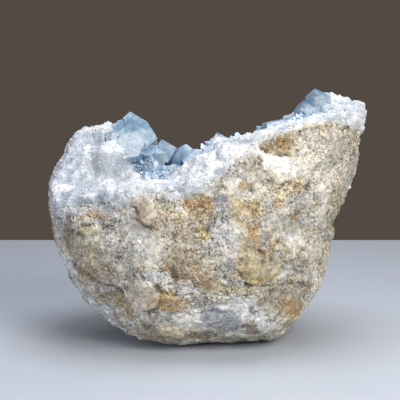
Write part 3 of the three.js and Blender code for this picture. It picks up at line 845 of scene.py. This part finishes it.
def crystalLook():
    # Celestite crystals grown free in the hollow: clear to milky pale blue, flat bright faces with faint
    # growth steps, milky veils inside, and a blue that deepens with thickness.
    material, add = newMaterial("clearCelestite")
    place = add("ShaderNodeTexCoord").outputs["Object"]
    cast = add("ShaderNodeAttribute", {"attribute_name": "cast"})
    frost, worn, upward, downward = [
        add("ShaderNodeAttribute", {"attribute_name": name}).outputs["Fac"]
        for name in ("frost", "worn", "upward", "downward")]
    veil = add("ShaderNodeTexNoise",
               {"Scale": 1 / (7 * mm), "Detail": 2, "Roughness": 0.5, "Distortion": 0.2},
               {"Vector": place})
    veiled = add("ShaderNodeValToRGB",
                 {"ramp": [(0.3, "#86a9c9"), (0.5, "#9dbcd7"), (0.62, "#b9d0e2"), (0.7, "#d6e4ee")]},
                 {"Fac": veil})
    # painted shade: the darker blue that faces turned up are painted, in place of the dark room they reflect
    clear = add("ShaderNodeValToRGB", {"ramp": [(0.35, "#648bb0"), (0.65, "#85a7c4")]},
                {"Fac": veil})
    topShadeShare = add("ShaderNodeMath", {**product, 1: 0.85}, {0: upward})
    even = add("ShaderNodeMix", {"data_type": "RGBA"}, {0: topShadeShare, 6: veiled, 7: clear})
    steps = add("ShaderNodeTexNoise", {"Scale": 1 / (2.2 * mm), "Detail": 3}, {"Vector": place})
    stepTone = add("ShaderNodeMapRange", {"range": (0.35, 0.65, 0.8, 1.12)}, {"Value": steps})
    toned = add("ShaderNodeMix", colourProduct, {6: even, 7: stepTone})
    own = add("ShaderNodeMix", colourProduct, {6: toned, 7: cast})
    # painted shade: faces turned down are painted a saturated blue, the blue of the shade under the crystals
    colour = add("ShaderNodeMix", {"data_type": "RGBA", 7: [*linear("#8fbbe6"), 1]},
                 {0: downward, 6: own})
    sugary = add("ShaderNodeTexNoise", {"Scale": 1 / (1.2 * mm), "Detail": 3, "Roughness": 0.7},
                 {"Vector": place})
    patchy = add("ShaderNodeMapRange", {"range": (0.36, 0.6, 0.35, 1)}, {"Value": sugary})
    frosty = add("ShaderNodeMath", product, {0: patchy, 1: frost})
    edged = add("ShaderNodeMath", {"operation": "MULTIPLY_ADD", 1: 0.6, "use_clamp": True},
                {0: worn, 2: frosty})
    whitened = add("ShaderNodeMix", {"data_type": "RGBA", 7: [*linear("#d0dfe9"), 1]},
                   {0: edged, 6: colour})
    satin = add("ShaderNodeMapRange", {"range": (0.4, 0.65, 0.26, 0.45)}, {"Value": veil})
    rougher = add("ShaderNodeMath", {"operation": "MULTIPLY_ADD", 1: 0.35, "use_clamp": True},
                  {0: edged, 2: satin})
    height = add("ShaderNodeMath", {"operation": "MULTIPLY_ADD"}, {0: sugary, 1: frost, 2: steps})
    bump = add("ShaderNodeBump", {"Strength": 0.35, "Distance": 0.5 * mm}, {"Height": height})
    surface = add("ShaderNodeBsdfPrincipled", {"IOR": celestiteIor, "Transmission Weight": 0.3},
                  {"Base Color": whitened, "Roughness": rougher, "Normal": bump})
    body = add("ShaderNodeVolumeAbsorption", {"Color": [*linear("#8fb4d6"), 1], "Density": 30})
    add("ShaderNodeOutputMaterial", links={"Surface": surface, "Volume": body})
    return material


# Groups of crystals that are clearer, milkier or greyer than the rest: the tone multiplies their colour.
casts = {
    "left blocks": {"at": (-33, -6, 99), "reach": (12, 12, 11), "tone": (0.84, 0.88, 0.86)},
    "front slope": {"at": (-10, 2, 89), "reach": (7, 9, 6), "tone": (1.22, 1.22, 1.2)},
    "crown": {"at": (45, -20, 112), "reach": (16, 16, 11), "tone": (0.63, 0.62, 0.6)},
}

# Where fine frost has grown over the crystals: place and reach.
frosted = {
    "left end of the low mass": {"at": (-37, -17.5, 82), "reach": (6, 5, 4)},
    "front of the left blocks": {"at": (-40, -21, 95), "reach": (12, 9, 8)},
    "foot of the front ones": {"at": (-20, -24, 77), "reach": (24, 8, 5)},
    # painted highlight: frost whitening put where a flat face catches the light
    "painted highlight on the low flake": {"at": (-27, -17, 86), "reach": (4, 4, 1.6)},
    "low left of the blocks": {"at": (-44, -21, 88), "reach": (6, 7, 6)},
    "right of the crown": {"at": (53, -17, 114), "reach": (6, 8, 6)},
    "foot of the crown": {"at": (45, -22, 109.5), "reach": (6, 8, 3)},
    "foot of the ridge": {"at": (35, -26, 104.5), "reach": (9, 6, 2.5)},
}


# Where small young crystals stand on the large ones: place and reach.
seeded = {
    "low mass": {"at": (-18, -19, 81), "reach": (19, 9, 5)},
    "beside the flat one": {"at": (-30, -10, 84), "reach": (6, 7, 4)},
    "low right": {"at": (-2, -16, 83), "reach": (6, 6, 4)},
    "right ridge": {"at": (43, -28, 107.5), "reach": (7, 8, 4)},
}


def nearSpots(points, spots, ragged):
    away = [fromSpot(points, spot) for spot in spots.values()]
    return smoothStep(1.25, 0.55, np.min(away, axis=0) + ragged)


def frostShare(points, layerSurface):  # thickest on the named places and where crystals meet the white layer
    ragged = 0.5 * lumpy(points, 4, 81, 3) + 0.2 * lumpy(points, 1.6, 82)
    share = smoothStep(4.5, 0.5, distanceTo(layerSurface, points) + 3 * ragged)
    return np.maximum(share, nearSpots(points, frosted, 0.7 * ragged))


def crystalCast(points):
    colour = np.ones((len(points), 3))
    for cast in casts.values():
        colour = blend(colour, cast["tone"], smoothStep(1.2, 0.8, fromSpot(points, cast)))
    return colour


def makeCrystals(zone, layerSurface):
    piece = copyOfNode("crystal_crust", "blue_crystals")
    cutWith(piece, zone, "INTERSECT")
    easeEdges(piece)
    paint(piece, "frost", frostShare(readPoints(piece), layerSurface))
    paint(piece, "cast", crystalCast(readPoints(piece)))
    finishPiece(piece, crystalLook(), "crystal_crust")
    return piece


def frostedGround(piece, layerSurface):  # a coarse stand-in for the crystals, only to scatter grains over
    ground = addPiece("frosted_ground", piece.data.copy())
    remeshWith(ground, crystals["groundVoxel"], smooth=False)
    points = readPoints(ground)
    share = smoothStep(0.45, 1.0, frostShare(points, layerSurface))
    seen = exposed(ground, layerSurface) * clearOf(points, layerSurface)
    paint(ground, "frosted", share * seen)
    paint(ground, "seeded", nearSpots(points, seeded, 0.3 * lumpy(points, 4, 83, 2)) * seen)
    return ground


# Scattered small pieces: least spacing, smallest and largest size, how strongly small ones prevail, seed.
scatters = {
    "sugar_grains": {"spacing": 1.06, "size": (0.5, 1.6), "small": 2.0, "sunk": 0.2, "seed": 3},
    "rim_grains": {"spacing": 0.85, "size": (0.6, 1.6), "small": 2.0, "sunk": 0.15, "seed": 4},
    "frost_grains": {"spacing": 0.8, "size": (0.4, 1.3), "small": 2.0, "sunk": 0.15, "seed": 7},
    "limestone_crumbs": {"spacing": 1.25, "size": (0.7, 2.6), "small": 2.6, "sunk": 0.3, "seed": 5},
    "young_crystals": {"spacing": 1.25, "size": (1.0, 3.0), "small": 1.6, "sunk": 0.1, "seed": 8},
    "druse_crystals": {"spacing": 2.6, "size": (2.0, 5.0), "small": 1.6, "sunk": 0.2, "seed": 6},
}


crowding = 2.2  # points tried for each square of the spacing, before those too close to others go
uprightLean = 35  # how far upright crystals lean at most
grainKinds = 5  # how many shapes each kind of grain has


def grainShapes(kind):  # a few low-faced shapes of unit size
    shapes = []
    for i in range(grainKinds):
        shape = bmesh.new()
        spin = Vector((math.sin(i * 2.1), math.cos(i * 1.3), math.sin(i * 0.7 + 1)))
        if kind == "crumb":
            if i % 2:
                bmesh.ops.create_icosphere(shape, subdivisions=1, radius=0.5)
            else:
                bmesh.ops.create_cube(shape, size=0.8)
            for vert in shape.verts:
                vert.co *= 1 + 0.55 * noise.noise(vert.co * 3 + spin * 4)
        elif kind == "block":
            bmesh.ops.create_cube(shape, size=0.74)
            for vert in shape.verts:
                vert.co.z += 0.35 * spin.x * vert.co.x
            bmesh.ops.scale(shape, vec=(1.1, 0.66 + 0.09 * i, 1.2 - 0.1 * i), verts=shape.verts)
        else:
            bmesh.ops.create_cone(shape, cap_ends=True, segments=(4, 5, 4, 6, 4)[i], radius1=0.5,
                                  radius2=0.46, depth=1.5)
            bmesh.ops.scale(shape, vec=(1, 0.66 + 0.07 * i, 1), verts=shape.verts)
            for side in (1, -1):
                slope = Vector((side, 0.25 * spin.y, 0.9 + 0.3 * spin.x)).normalized()
                cut = bmesh.ops.bisect_plane(shape, geom=shape.verts[:] + shape.edges[:] + shape.faces[:],
                                             plane_co=(0, 0, 0.69), plane_no=slope, clear_outer=True)
                rim = [e for e in cut["geom_cut"] if isinstance(e, bmesh.types.BMEdge)]
                bmesh.ops.holes_fill(shape, edges=rim)
        bmesh.ops.remove_doubles(shape, verts=shape.verts, dist=0.01)
        bmesh.ops.recalc_face_normals(shape, faces=shape.faces)
        shapes.append(meshFrom(shape, kind + str(i)))
    return shapes


def scatter(name, ground, where, kind, upright=False):
    plan = scatters[name]
    shelf = bpy.data.collections.new("shapes of " + name)
    bpy.context.scene.collection.children.link(shelf)
    for mesh in grainShapes(kind):
        shelf.objects.link(bpy.data.objects.new(mesh.name, mesh))
    tree = bpy.data.node_groups.new(name, "GeometryNodeTree")
    tree.interface.new_socket("Geometry", in_out="INPUT", socket_type="NodeSocketGeometry")
    tree.interface.new_socket("Geometry", in_out="OUTPUT", socket_type="NodeSocketGeometry")
    add = partial(addNode, tree)
    soil = add("NodeGroupInput")
    share = add("GeometryNodeInputNamedAttribute", {"data_type": "FLOAT", "Name": where})
    spots = add("GeometryNodeDistributePointsOnFaces",
                {"distribute_method": "POISSON", "Distance Min": plan["spacing"] * mm,
                 "Density Max": crowding / (plan["spacing"] * mm) ** 2, "Seed": plan["seed"]},
                {"Mesh": soil, "Density Factor": share})
    lean = math.radians(uprightLean) if upright else math.pi
    chances = [
        {"data_type": "FLOAT_VECTOR", 0: (-lean, -lean, -math.pi), 1: (lean, lean, math.pi)},
        {"data_type": "FLOAT"},
        {"data_type": "INT", 4: 0, 5: grainKinds - 1},
        {"data_type": "FLOAT"},
    ]
    turn, chance, which, tone = [
        add("FunctionNodeRandomValue", {**drawn, "Seed": plan["seed"] + i})
        for i, drawn in enumerate(chances, 1)]
    turned = add("FunctionNodeRotateRotation", {"rotation_space": "LOCAL"},
                 {"Rotation": spots.outputs["Rotation"], "Rotate By": turn})
    skewed = add("ShaderNodeMath", {"operation": "POWER", 1: plan["small"]}, {0: chance})
    least, most = plan["size"]
    size = add("ShaderNodeMapRange", {"range": (0, 1, least * mm, most * mm)}, {"Value": skewed})
    sink = add("ShaderNodeMath", {**product, 1: -plan["sunk"]}, {0: size})
    down = add("ShaderNodeVectorMath", {"operation": "SCALE"},
               {0: spots.outputs["Normal"], "Scale": sink})
    sunk = add("GeometryNodeSetPosition", links={"Geometry": spots, "Offset": down})
    shapes = add("GeometryNodeCollectionInfo", {"Separate Children": True, "Reset Children": True})
    shapes.inputs["Collection"].default_value = shelf
    placed = add("GeometryNodeInstanceOnPoints", {"Pick Instance": True},
                 {"Points": sunk, "Instance": shapes, "Instance Index": which, "Rotation": turned,
                  "Scale": size})
    toned = add("GeometryNodeStoreNamedAttribute", {"domain": "INSTANCE", "Name": "tone"},
                {"Geometry": placed, "Value": tone})
    real = add("GeometryNodeRealizeInstances", links={"Geometry": toned})
    add("NodeGroupOutput", links={0: real})
    piece = addPiece(name, ground.data.copy())
    piece.modifiers.new("scatter", "NODES").node_group = tree
    applyModifiers(piece)
    for shape in list(shelf.objects):
        bpy.data.objects.remove(shape)
    bpy.data.collections.remove(shelf)
    bpy.data.node_groups.remove(tree)
    return piece


setting = {
    "floor": {"half": 272, "corner": 60, "thick": 20, "colour": "#b9c1cc"},
    "backdrop": "#524a43",
    "camera": {"at": (-4.8, 0, 66.5), "distance": 610, "elevation": 8, "lens": 114.2},
    "lamps": [
        {"name": "key", "at": (260, -410, 340), "size": 320, "watts": 3.2, "colour": "#fff9f2"},
        {"name": "top", "at": (40, -30, 560), "size": 300, "watts": 2.0, "colour": "#f4f7ff"},
        {"name": "fill", "at": (-420, -330, 150), "size": 340, "watts": 1.1, "colour": "#eef3ff"},
        {"name": "back", "at": (0, 330, 470), "size": 340, "watts": 0.55, "colour": "#f4f7ff"},
    ],
    "aim": (0, 0, 60),
}


def makeFloor():
    # A matt painted table top: even, slightly satin, too smooth to show a grain.
    floor = setting["floor"]
    shape = bmesh.new()
    bmesh.ops.create_cube(shape, size=1)
    bmesh.ops.scale(shape, vec=Vector((2 * floor["half"], 2 * floor["half"], floor["thick"])) * mm,
                    verts=shape.verts)
    bmesh.ops.translate(shape, vec=Vector((0, 0, -floor["thick"] / 2 - 0.05)) * mm, verts=shape.verts)
    uprights = [e for e in shape.edges if abs(e.verts[0].co.z - e.verts[1].co.z) > mm]
    bmesh.ops.bevel(shape, geom=uprights, offset=floor["corner"] * mm, affect="EDGES", segments=12,
                    profile=0.5, material=-1)
    piece = addPiece("floor", meshFrom(shape, "floor"))
    material, add = newMaterial("paintedTable")
    surface = add("ShaderNodeBsdfPrincipled",
                  {"Base Color": [*linear(floor["colour"]), 1], "Roughness": 0.55})
    add("ShaderNodeOutputMaterial", links={"Surface": surface})
    piece.data.materials.append(material)


def makeLights():
    for lamp in setting["lamps"]:
        light = bpy.data.lights.new(lamp["name"], "AREA")
        light.size = lamp["size"] * mm
        light.energy = lamp["watts"]
        light.color = linear(lamp["colour"])
        piece = addPiece(lamp["name"], light)
        piece.location = Vector(lamp["at"]) * mm
        way = Vector(setting["aim"]) * mm - piece.location
        piece.rotation_euler = way.to_track_quat("-Z", "Y").to_euler()
    world = bpy.data.worlds.new("room")
    world.use_nodes = True
    world.node_tree.nodes["Background"].inputs["Color"].default_value = [*linear(setting["backdrop"]), 1]
    bpy.context.scene.world = world
    bpy.context.scene.view_settings.view_transform = "Standard"


def makeCamera():
    view = setting["camera"]
    lens = bpy.data.cameras.new("camera")
    lens.lens = view["lens"]
    lens.clip_start = 10 * mm
    piece = addPiece("camera", lens)
    slope = math.radians(view["elevation"])
    back = Vector((0, -math.cos(slope), math.sin(slope)))
    piece.location = (Vector(view["at"]) + back * view["distance"]) * mm
    piece.rotation_euler = (-back).to_track_quat("-Z", "Y").to_euler()
    bpy.context.scene.camera = piece


def surfaceOf(mesh):
    shape = bmesh.new()
    shape.from_mesh(mesh)
    tree = BVHTree.FromBMesh(shape)
    shape.free()
    return tree


def sortedSurfaceOf(mesh):  # merging points shuffles faces; sorted, they give each run the same answers
    places = [tuple(vert.co) for vert in mesh.vertices]
    order = sorted(range(len(places)), key=lambda i: places[i])
    rank = {old: new for new, old in enumerate(order)}
    faces = []
    for face in mesh.polygons:
        corners = [rank[i] for i in face.vertices]
        first = corners.index(min(corners))
        faces.append(corners[first:] + corners[:first])
    return BVHTree.FromPolygons([places[i] for i in order], sorted(faces))


shell = surfaceOf(frame["nodes"]["rock_shell"].data)
crust = surfaceOf(frame["nodes"]["crystal_crust"].data)
makeCamera()
makeFloor()
makeLights()
stone = makeRock()
zone = blueZone()
layer = makeLayer(zone)
finishPiece(layer, sugarLook(), "crystal_crust")
layerSurface = surfaceOf(layer.data)
blue = makeCrystals(zone, layerSurface)
grains = grainLook("celestiteGrains", [(0.0, "#bcc6d0"), (0.3, "#dbe1e7"), (0.75, "#f3f5f7")], fromGround=0.5)
frost = grainLook("celestiteFrost", [(0.0, "#a5b9ca"), (0.4, "#bccbd8"), (0.8, "#d6e2ea")])
youngTones = grainLook("youngCelestite",
                       [(0.0, "#8faac3"), (0.4, "#abc1d3"), (0.8, "#c2d3e0"), (1.0, "#dbe6ee")])
openGround(layer, sortedSurfaceOf(blue.data))
finishPiece(scatter("sugar_grains", layer, "bare", "block"), grains)
finishPiece(scatter("rim_grains", stone, "whitened", "block"), grains)
ground = frostedGround(blue, layerSurface)
finishPiece(scatter("frost_grains", ground, "frosted", "block"), frost)
young = scatter("young_crystals", ground, "seeded", "prism", upright=True)
finishPiece(young, youngTones)
bpy.data.objects.remove(ground)
finishPiece(scatter("druse_crystals", layer, "inner", "prism", upright=True), youngTones)
finishPiece(scatter("limestone_crumbs", stone, "bare", "crumb"), crumbLook())
